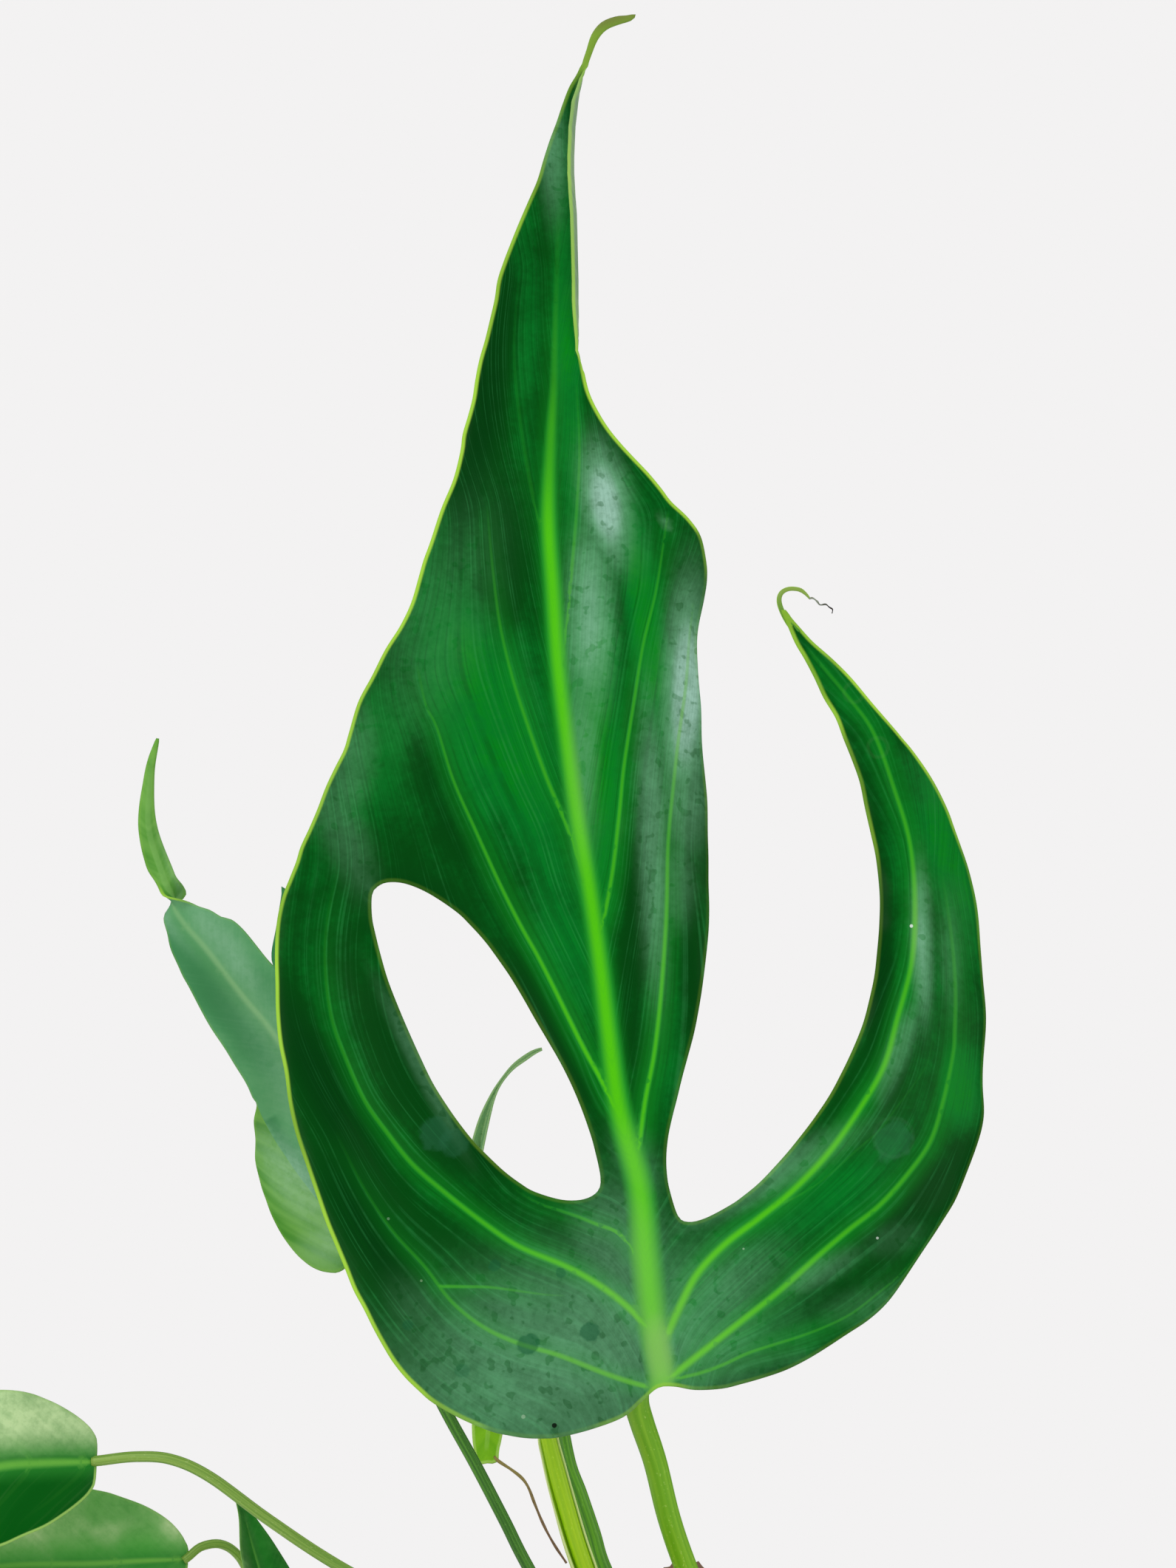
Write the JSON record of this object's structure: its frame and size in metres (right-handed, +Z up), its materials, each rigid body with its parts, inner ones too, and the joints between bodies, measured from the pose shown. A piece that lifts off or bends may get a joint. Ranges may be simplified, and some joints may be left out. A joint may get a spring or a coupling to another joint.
{
  "type": "potted flame monstera",
  "caption": "Potted climbing aroid whose large flame-shaped leaf has a long hole, a deep bay and a curved horn, with lesser leaves on arching stalks in a clay pot of bark mix.",
  "frame": {"origin": "centre of the pot's flat underside", "axes": "+Z up along the pot's axis, -Y towards the side that the large leaf faces, +X to that leaf's right as seen from the front"},
  "size_m": [0.2146, 0.1229, 0.4346],
  "materials": {
    "clay": "unglazed terracotta, matt, with fine grain and pale lime bloom",
    "bark_mix": "rough brown bark chips with pale perlite grains",
    "stem": "green to tan skin with leaf scars and brown aerial roots",
    "papery_sheath": "dry tan papery sheath with fine fibres along it",
    "stalk": "smooth yellow-green stalk, satin, with fine pale flecks",
    "dark_stalk": "smooth darker green stalk, satin, with fine streaks",
    "bright_sheath": "bright yellow-green sheathed stalk with a thin pale edge",
    "flame_leaf": "deep green leathery blade, waxy gloss, bright yellow-green midrib, veins and margin",
    "back_leaf": "grey-green leathery blade with yellow-green underside",
    "young_leaf": "soft mid-green young blade, satin",
    "underside": "pale yellow-green blade underside, matt, with a dry brown thread at its tip",
    "juvenile_leaf": "mid-green smooth blade, waxy sheen, yellow-green midrib and margin"
  },
  "bodies": {
    "root": {"pot": "clay", "potting_mix": "bark_mix", "stem": "stem", "dry_sheath": "papery_sheath", "petiole_flame": "stalk", "blade_flame": "flame_leaf", "petiole_twisted": "dark_stalk", "blade_twisted": "back_leaf", "petiole_young": "bright_sheath", "blade_young": "young_leaf", "petiole_hanging": "dark_stalk", "blade_hanging": "underside", "petiole_upper": "stalk", "blade_upper": "juvenile_leaf", "petiole_lower": "stalk", "blade_lower": "juvenile_leaf", "petiole_small": "stalk", "blade_small": "juvenile_leaf"}
  },
  "joints": []
}
